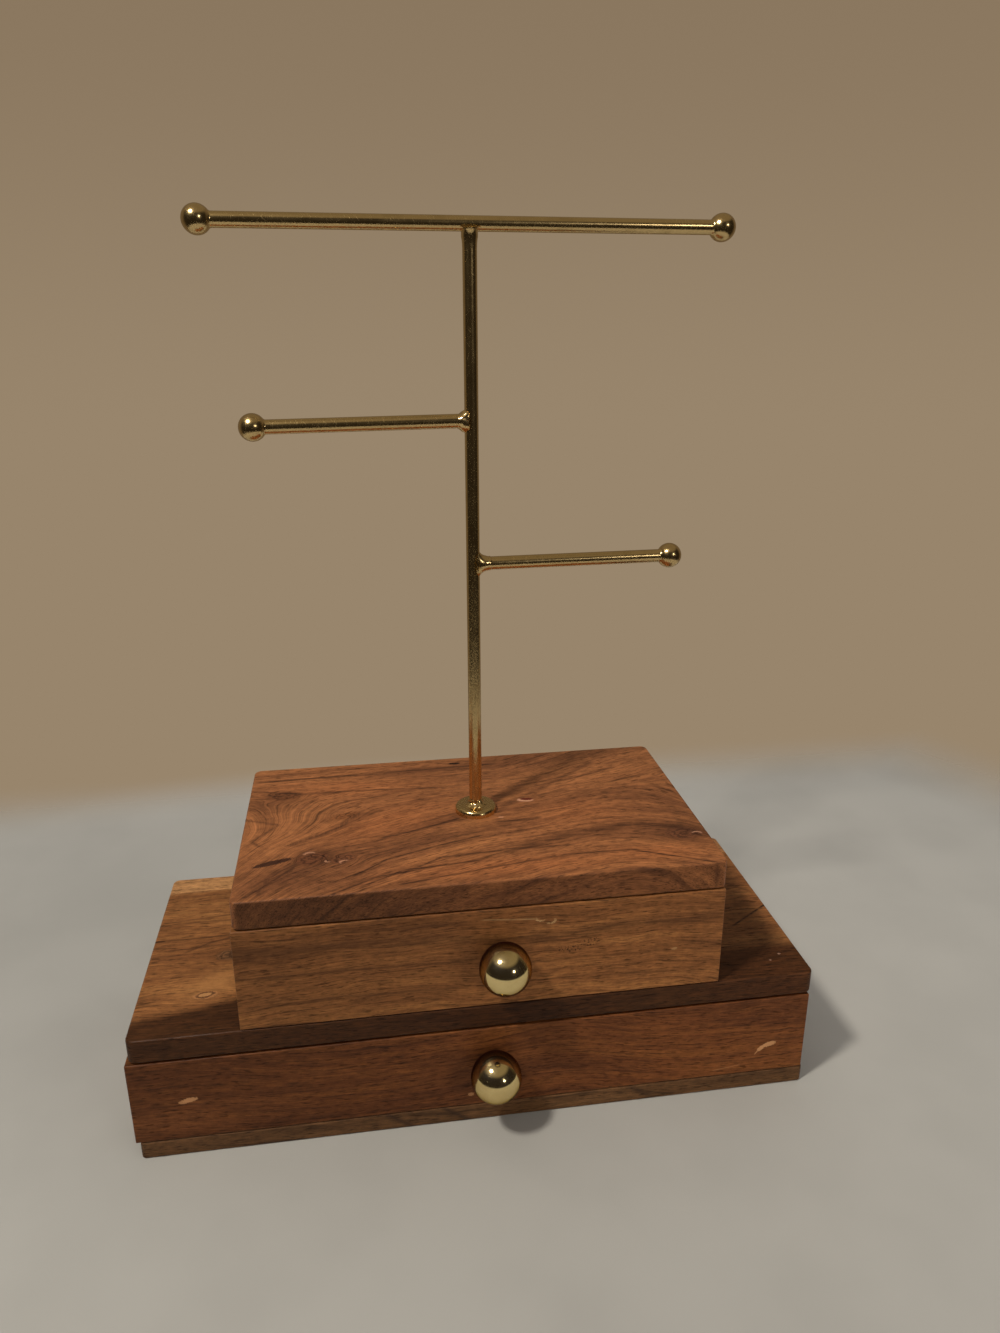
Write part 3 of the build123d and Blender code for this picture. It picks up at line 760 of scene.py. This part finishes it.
def upper_front_paint(tree, colour, height, rough, x, y, z, marks):
    colour = tree.mix(colour, linear(76, 47, 25), bands(tree, x, z, upper_front_bands))
    burl = blot(tree, x, z, (36.0, 86.5), 6.0, 1.8).high(blot(tree, x, z, (45.0, 89.0), 4.5, 2.0))
    specks = tree.noise(tree.vector(x * 1.1, z * 1.3, 0.0), 2.0).step(0.50, 0.62)
    colour = tree.mix(colour, linear(56, 32, 18), burl * specks * 0.9)
    scratch = streak_along(tree, x, z, [(-0.7, 104.4), (21.1, 102.7)], 0.28, 0.8)
    first_turn = crescent(tree, x, z, (23.2, 102.7), 2.2, (0.3, 0.5))
    second_turn = crescent(tree, x, z, (27.5, 101.3), 2.4, (-0.5, 0.5))
    spot = blot(tree, x, z, (82.7, 81.3), 1.5, 0.6, 0.2) * 0.5
    pale = highest([scratch, first_turn, second_turn, spot]).low(1.0)
    colour = tree.mix(colour, linear(190, 152, 104), pale * 0.8)
    return colour, height - pale * 0.1, rough + pale * 0.15


upper_front_tones = (
    linear(151, 101, 56),
    linear(124, 79, 43),
    linear(89, 54, 28),
    linear(58, 33, 15),
)
upper_front = plank(
    "upper_front_wood", upper_front_tones, upper_front_bend, turned="xz", seed=21.3, spacing=5.0,
    lines=0.5, node="upper_drawer_front", paint=upper_front_paint, drift=upper_front_drift,
)
wear(upper_front, "upper_drawer_front")

# %% Lower drawer front
def lower_front_bend(u, v, w):
    arch = (u - 34.0).hill(0.0, 34.0) * 9.0
    return v - arch + u * 0.05 + (u + 70.0).hill(0.0, 50.0) * 3.0 + w * 0.5


def lower_front_drift(tree, colour, u, v, w, marks):
    glow = marks["broad"] * (u + 128.0).hill(0.0, 34.0) * v.hill(20.0, 6.0)
    colour = tree.mix(colour, linear(158, 98, 56), glow * 0.7)
    # painted light: lighter towards the right, where more light falls on the front
    return tree.shade(colour, 0.78 + u.step(-135.0, 120.0) * 0.44)


paste_patches = [
    ((-127.2, 28.8), 3.4, 1.2, 0.12, 0.8),
    ((-130.0, 27.9), 2.0, 0.9, 0.0, 0.64),
    ((131.8, 23.6), 3.4, 1.4, 0.22, 1.0),
    ((128.1, 21.8), 1.9, 1.3, 0.6, 1.0),
    ((126.3, 20.0), 1.1, 0.6, 1.2, 0.7),
    ((-7.4, 14.6), 1.4, 1.0, 0.0, 0.5),
]


def lower_front_paint(tree, colour, height, rough, x, y, z, marks):
    """Pale paste in the flaws; a row holds place, length, width, lean and strength."""
    patches = highest(blot(tree, x, z, *row[:4]) * row[4] for row in paste_patches)
    scratch = streak_along(tree, x, z, [(106, 12), (118, 13.5)], 0.25, 0.7).low(1.0)
    paste = patches.high(scratch * 0.6)
    colour = tree.mix(colour, linear(206, 152, 104), paste * 0.85)
    return colour, height + paste * 0.1, rough + paste * 0.15


lower_front_tones = (
    linear(126, 76, 36),
    linear(100, 57, 28),
    linear(70, 38, 19),
    linear(40, 22, 11),
)
lower_front = plank(
    "lower_front_wood", lower_front_tones, lower_front_bend, turned="xz", seed=34.9, spacing=5.0,
    lines=0.45, node="lower_drawer_front", paint=lower_front_paint, drift=lower_front_drift,
)
wear(lower_front, "lower_drawer_front")

# %% [markdown]
# ## Base, walls and drawer boxes
# The base is a greyer piece of the same wood with slanting dark marks on its edge. The walls are
# plain planks, sawn so that their grain runs along their length. The drawer boxes are pale wood
# without a finish, with a thin plywood bottom.

# %% Base and walls
def base_bend(u, v, w):
    return v + u * 0.04 + w * 0.6


def base_paint(tree, colour, height, rough, x, y, z, marks):
    slanting = x + z * 1.4
    total = (slanting + 33.0).hill(0.0, 2.2).high((slanting + 8.0).hill(0.0, 1.8))
    total = total.high((slanting - 78.0).hill(0.0, 2.5) * 0.7)
    return tree.mix(colour, linear(50, 34, 24), total * 0.7), height, rough


base_tones = (
    linear(118, 84, 52),
    linear(96, 66, 40),
    linear(70, 47, 28),
    linear(42, 28, 17),
)
base = plank(
    "base_wood", base_tones, base_bend, seed=41.2, spacing=7.0, node="base_board",
    paint=base_paint,
)
wear(base, "base_board")

wall_tones = (
    linear(146, 92, 48),
    linear(120, 72, 38),
    linear(88, 50, 26),
    linear(58, 33, 18),
)


def side_bend(u, v, w):
    return v + (u - 8.0).hill(0.0, 45.0) * 5.0 + w * 0.6


def back_bend(u, v, w):
    return v - (u + 20.0).hill(0.0, 60.0) * 7.0 + w * 0.6


side_wood = plank("side_wall_wood", wall_tones, side_bend, turned="y", seed=52.4, spacing=6.5)
back_wood = plank("back_wall_wood", wall_tones, back_bend, turned="xz", seed=57.9, spacing=6.5)
wear(side_wood, "lower_left_side", "lower_right_side", "upper_left_side", "upper_right_side")
wear(back_wood, "lower_back_panel", "upper_back_panel")

# %% Drawer boxes
box_tones = (
    linear(206, 168, 122),
    linear(186, 146, 100),
    linear(160, 118, 78),
    linear(128, 90, 58),
)


def box_bend(u, v, w):
    return v + w * 0.5 + u * 0.02


box_side = plank(
    "drawer_side_wood", box_tones, box_bend, turned="y", seed=63.5, spacing=5.5, lines=0.3,
)
box_back = plank(
    "drawer_back_wood", box_tones, box_bend, turned="xz", seed=68.1, spacing=5.5, lines=0.3,
)
ply = plank("drawer_ply", box_tones, box_bend, seed=71.8, spacing=14.0, lines=0.35)
for drawer in ("lower_drawer", "upper_drawer"):
    wear(box_side, drawer + "_left_side", drawer + "_right_side")
    wear(box_back, drawer + "_back")
    wear(ply, drawer + "_bottom")

beech_tones = (
    linear(214, 176, 136),
    linear(200, 158, 116),
    linear(182, 138, 98),
    linear(160, 116, 80),
)
beech = plank("dowel_beech", beech_tones, box_bend, seed=77.0, spacing=3.0, lines=0.3)
wear(beech, "lower_top_dowels", "upper_base_dowels", "upper_top_dowels")

# %% [markdown]
# ## Brass and steel
# Polished brass takes nearly all its look from what it mirrors, so its material is a colour, a
# low roughness, and the fine signs of handling: faint drifts of tarnish, hair scratches that run
# every way, and a slight unevenness from the polishing wheel. There are two brasses. The knobs
# are bright and lacquered. Towards the foot, where they mirror the wood that the knob itself
# shades, their colour and the tint of their edges are darker: painted shade. The stand is a
# duller brass. The screws and pins inside are zinc-plated steel.

# %% Metals
metal_bump = (0.04, 0.0004)


def metal(name, colour, tarnish_and_shade, rough, haze, edge=(1.0, 1.0, 1.0), foot=None, lacquer=0.0):
    """foot holds two depths, y in millimetres: between them the colour darkens towards the wood, as
    painted shade for the wood that the knob shades and mirrors there. edge tints what it mirrors
    at a flat angle; the knobs' dark edge tint is painted shade of the same kind. lacquer is a dull
    clear coat, which spreads a glow around each highlight."""
    material, tree = new_material(name)
    x, y, z = piece_millimetres(tree)
    cloud = tree.noise(tree.vector(x * 0.11, y * 0.11, z * 0.11), 4.0, 0.6)
    speck = tree.noise(tree.vector(x * 1.3, y * 1.3, z * 1.3), 2.0, 0.6).step(0.62, 0.74)
    turned = tree.add(
        "ShaderNodeMapping", {"vector_type": "POINT"},
        {"Vector": tree.vector(x, y, z), "Rotation": (0.6, 0.35, 0.9)},
    )
    a, b, c = tree.parts(turned)
    hair = tree.noise(tree.vector(a * 0.25, b * 6.0, c * 0.25), 1.0).step(0.66, 0.72)
    cross = tree.noise(tree.vector(a * 5.0, b * 0.22, c * 0.3), 1.0).step(0.68, 0.74)
    scratch = hair.high(cross)
    tone = tree.mix(colour, tarnish_and_shade, cloud.step(0.45, 0.75) * 0.5)
    tone = tree.mix(tone, tarnish_and_shade, speck * 0.5)
    if foot:
        # painted shade: the colour darkens towards the foot, where the knob mirrors the wood that
        # it shades
        tone = tree.mix(tone, tree.shade(tarnish_and_shade, 0.15), y.step(*foot) * 0.9)
    roughness = rough + cloud.step(0.3, 0.8) * haze + scratch * 0.10 + speck * 0.12
    height = cloud * 0.5 - scratch * 0.12
    sockets = {
        "Base Color": tone, "Metallic": 1.0, "Roughness": roughness, "Specular Tint": edge,
        "Coat Weight": lacquer, "Coat Roughness": 0.42, "Coat IOR": 1.6,
    }
    finish_material(tree, sockets, height, *metal_bump)
    print("metal", name)
    return material


# the knobs' dark foot and dark edge tint are painted shade for the shaded wood they mirror
knob_brass = metal(
    "knob_brass", (0.90, 0.72, 0.34), (0.62, 0.44, 0.17), 0.09, 0.05,
    edge=(0.28, 0.18, 0.09), foot=(-77.5, -71.0), lacquer=0.3,
)
stand_brass = metal("stand_brass", (0.70, 0.51, 0.24), (0.46, 0.32, 0.13), 0.18, 0.07)
steel = metal("zinc_steel", (0.58, 0.59, 0.60), (0.40, 0.40, 0.41), 0.24, 0.14)


def bare_with(slot):
    """The nodes without a finish that the frame gives this material slot."""
    return [name for name in sorted(bare) if nodes[name].data.materials[0].name == slot]


wear(knob_brass, "lower_drawer_knob", "upper_drawer_knob")
wear(stand_brass, *bare_with("polished_brass"))
wear(steel, *bare_with("zinc_steel"))

# %% [markdown]
# ## Weld beads
# Where the rods meet, the stand was brazed: the filler ran into each corner and froze as a small
# trumpet that hugs the upright. On the left arm and on the foot it stayed lumpy. Each bead is a
# profile spun around the rod, pressed narrow so that it doesn't stand out past the upright, and
# then pushed in and out a little by noise.

# %% Beads
lumps_per_metre = 420
doubles_within = 0.005 * MM


def bead(name, place, along, profile, widest, lumps, seed):
    """A bead spun around the line along; profile holds (distance, radius) in millimetres."""
    shape = bmesh.new()
    points = [shape.verts.new((0, radius * MM, start * MM)) for start, radius in profile]
    edges = [shape.edges.new(pair) for pair in zip(points, points[1:])]
    bmesh.ops.spin(
        shape, geom=points + edges, axis=(0, 0, 1), cent=(0, 0, 0), angle=2 * math.pi, steps=48,
        use_merge=True,
    )
    bmesh.ops.holes_fill(shape, edges=[e for e in shape.edges if e.is_boundary], sides=0)
    bmesh.ops.remove_doubles(shape, verts=shape.verts, dist=doubles_within)
    bmesh.ops.subdivide_edges(
        shape, edges=shape.edges[:], cuts=1, use_grid_fill=True, smooth=1.0,
    )
    for point in shape.verts:
        radius = math.hypot(point.co.x, point.co.y)
        if radius > widest * MM:
            point.co.y *= widest * MM / radius
        wobble = noise.noise(point.co * lumps_per_metre + Vector((seed, 0, 0)))
        point.co.xy *= 1 + wobble * lumps
    turn = Vector((0, 0, 1)).rotation_difference(Vector(along))
    bmesh.ops.rotate(shape, cent=(0, 0, 0), matrix=turn.to_matrix(), verts=shape.verts)
    bmesh.ops.translate(shape, vec=place, verts=shape.verts)
    bmesh.ops.recalc_face_normals(shape, faces=shape.faces[:])
    mesh = bpy.data.meshes.new(name)
    shape.to_mesh(mesh)
    shape.free()
    mesh.polygons.foreach_set("use_smooth", [True] * len(mesh.polygons))
    mesh.materials.append(stand_brass)
    piece = bpy.data.objects.new(name, mesh)
    bpy.context.scene.collection.objects.link(piece)
    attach(piece, "case")
    print(name, len(mesh.polygons), "faces")


def middle_of(node):
    low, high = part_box(node)
    return (low + high) / 2


def on_post(height):
    return Vector((post_line.x, post_line.y, height))


post_line = middle_of("post")
right_place = on_post(middle_of("right_arm").z)
left_place = on_post(middle_of("left_arm").z)
top_place = on_post(middle_of("top_bar").z)
foot_place = on_post(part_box("post_flange")[1].z - 1.8 * MM)
right_flare = [
    (1.2, 5.9), (2.4, 5.7), (3.0, 5.0), (3.6, 4.35), (4.4, 3.8), (5.4, 3.4), (6.8, 3.05),
    (8.0, 2.8),
]
left_flare = [
    (1.2, 4.6), (2.6, 4.5), (3.4, 4.3), (4.1, 3.9), (4.7, 3.4), (5.4, 3.05), (6.0, 2.75),
]
top_flare = [
    (1.5, 4.6), (2.4, 4.3), (3.0, 3.95), (3.8, 3.6), (4.8, 3.3), (6.2, 3.06), (8.0, 2.94),
    (9.6, 2.88), (10.6, 2.82), (11.2, 2.4),
]
foot_flare = [(-0.4, 5.1), (0.0, 5.0), (0.5, 4.3), (1.1, 3.7), (1.9, 3.2), (2.8, 2.75)]
to_right = middle_of("right_arm_ball") - right_place
to_left = middle_of("left_arm_ball") - left_place
bead("right_arm_bead", right_place, to_right, right_flare, 3.35, 0.03, 1.0)
bead("left_arm_bead", left_place, to_left, left_flare, 3.6, 0.10, 5.0)
bead("top_bead", top_place, (0, 0, -1), top_flare, 3.3, 0.0, 9.0)
bead("foot_bead", foot_place, (0, 0, 1), foot_flare, 5.4, 0.20, 14.0)

# %% [markdown]
# ## Felt linings
# A sheet of black felt lies loose on the floor of each drawer. It is a real sheet, cut a little
# smaller than the drawer and pressed flat, so a grid of quads gets its rounded edge and slight
# waves from moved points, and its pile from a fine uneven surface.

# %% Felt
felt_material, tree = new_material("felt")
x, y, z = piece_millimetres(tree)
tuft = tree.noise(tree.vector(x * 0.9, y * 0.9, z * 0.9), 5.0, 0.7)
hairs = tree.noise(tree.vector(x * 3.0, y * 0.8, z * 2.0), 3.0, 0.8, 1.5)
nap = tree.noise(tree.vector(x * 0.03, y * 0.03, 0.0), 3.0, 0.5)
felt_tone = tree.mix(linear(30, 28, 29), linear(58, 54, 54), tuft * 0.6 + hairs * 0.3)
felt_tone = tree.shade(felt_tone, 0.85 + nap.step(0.35, 0.65) * 0.3)
finish_material(
    tree,
    {"Base Color": felt_tone, "Roughness": 0.95, "Sheen Weight": 0.35, "Sheen Roughness": 0.4},
    tuft * 0.7 + hairs * 0.3, 0.8, 0.0003,
)


cell = 3.0 * MM
wave_height = 0.10 * MM
edge_width = 1.5 * MM
edge_drop = 0.25 * MM
thickness_kept = 0.86


def felt_sheet(drawer):
    """A fine grid in the place of the drawer's lining, given its thickness and soft edges."""
    low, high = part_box(drawer + "_lining")
    width, length, thickness = high - low
    sheet = bmesh.new()
    bmesh.ops.create_grid(
        sheet, x_segments=round(width / cell), y_segments=round(length / cell), size=0.5,
    )
    bmesh.ops.scale(sheet, vec=(width, length, 1), verts=sheet.verts)
    middle = (low + high) / 2
    bmesh.ops.translate(sheet, vec=(middle.x, middle.y, high.z), verts=sheet.verts)
    for point in sheet.verts:
        inset = min(
            point.co.x - low.x, high.x - point.co.x, point.co.y - low.y, high.y - point.co.y,
        )
        wave = math.sin(point.co.x * 61) * math.sin(point.co.y * 83 + 1.3)
        press = wave_height * (0.5 + 0.5 * wave)
        rounding = edge_drop * max(0.0, 1 - inset / edge_width) ** 2
        point.co.z -= press + rounding
    bmesh.ops.solidify(sheet, geom=sheet.faces[:], thickness=-thickness * thickness_kept)
    bmesh.ops.recalc_face_normals(sheet, faces=sheet.faces[:])
    mesh = bpy.data.meshes.new(drawer + "_felt")
    sheet.to_mesh(mesh)
    sheet.free()
    mesh.materials.append(felt_material)
    piece = bpy.data.objects.new(drawer + "_felt", mesh)
    bpy.context.scene.collection.objects.link(piece)
    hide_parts(drawer + "_lining")
    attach(piece, drawer)
    bare.discard(drawer + "_lining")
    print(piece.name, len(mesh.polygons), "faces", round(width / MM, 1), round(length / MM, 1))


felt_sheet("lower_drawer")
felt_sheet("upper_drawer")

# %% [markdown]
# ## Finish
# Every node has its material now, and the nodes left without one are printed.

# %% Nodes left without a finish
print("left without a finish:", sorted(bare))
